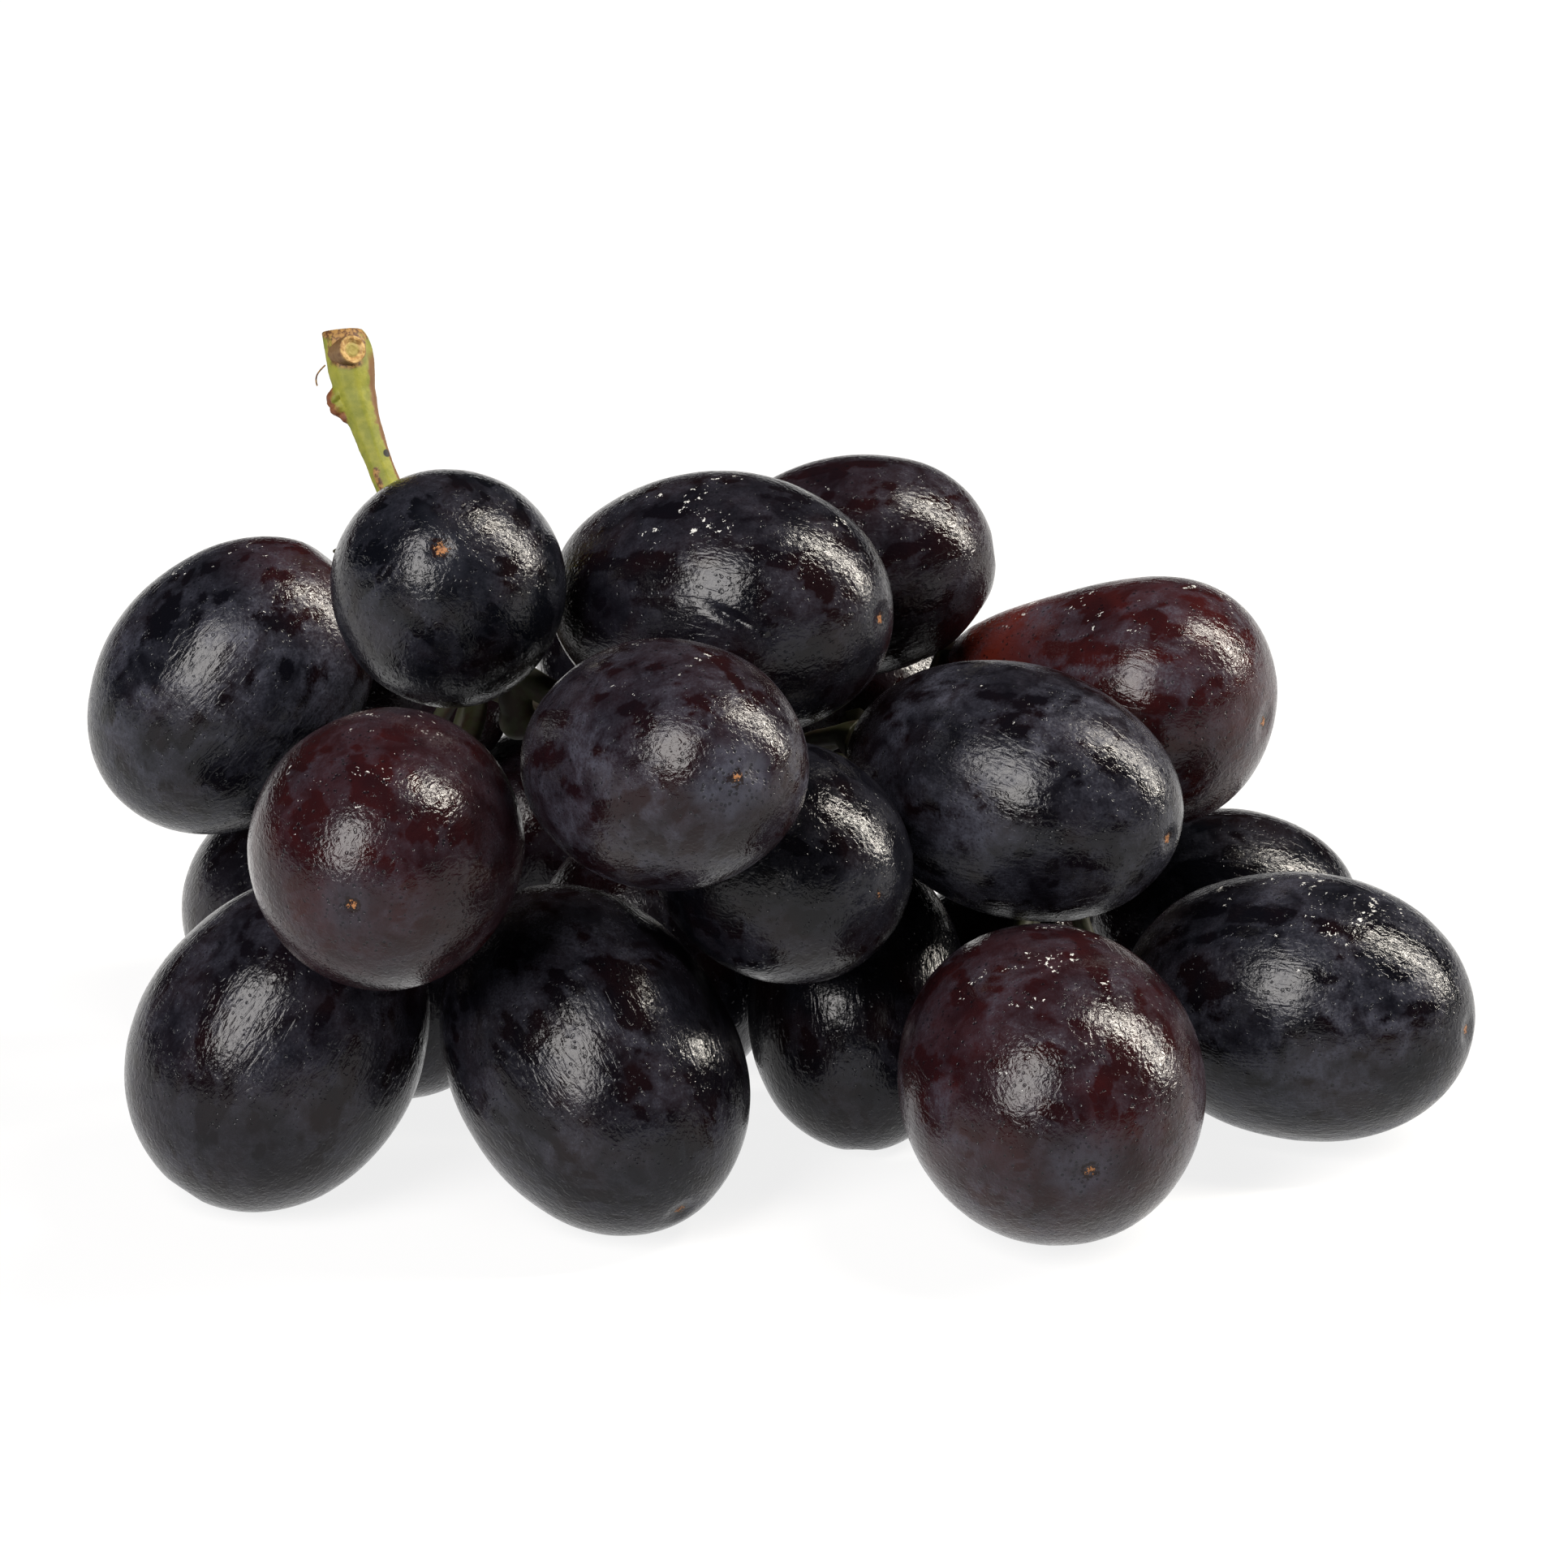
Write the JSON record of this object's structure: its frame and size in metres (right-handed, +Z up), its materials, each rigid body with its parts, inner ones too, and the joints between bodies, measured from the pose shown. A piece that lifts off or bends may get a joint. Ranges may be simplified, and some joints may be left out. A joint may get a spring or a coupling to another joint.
{
  "type": "bunch of grapes",
  "caption": "Small bunch of dark blue-black table grapes on a green stem, lying on its lowest berries with the cut end of the stalk up.",
  "frame": {"origin": "centre of the bunch's bounding box in x and y, on the surface that the lowest berries rest on", "axes": "+Z up; +X along the bunch's longest side, from the stalk's end towards the far end; -Y towards the side that the picture shows"},
  "size_m": [0.1094, 0.0832, 0.0592],
  "materials": {
    "berry_skin": "near-black blue skin under a patchy, waxy blue-grey bloom, glossy where it is rubbed",
    "reddish_berry_skin": "dark red-brown skin under a thin waxy bloom, glossy where it is rubbed",
    "stem": "light yellow-green stalk, redder on one side, with tan and brown ends"
  },
  "bodies": {
    "root": {"berry_01": "berry_skin", "berry_02": "berry_skin", "berry_03": "reddish_berry_skin", "berry_04": "berry_skin", "berry_05": "berry_skin", "berry_06": "berry_skin", "berry_07": "berry_skin", "berry_08": "berry_skin", "berry_09": "berry_skin", "berry_10": "reddish_berry_skin", "berry_11": "berry_skin", "berry_12": "berry_skin", "berry_13": "berry_skin", "berry_14": "reddish_berry_skin", "berry_15": "berry_skin", "berry_16": "berry_skin", "berry_17": "berry_skin", "berry_18": "berry_skin", "berry_19": "berry_skin", "berry_20": "berry_skin", "berry_21": "berry_skin", "berry_22": "berry_skin", "berry_23": "berry_skin", "berry_24": "berry_skin", "berry_25": "berry_skin", "stem": "stem"}
  },
  "joints": []
}
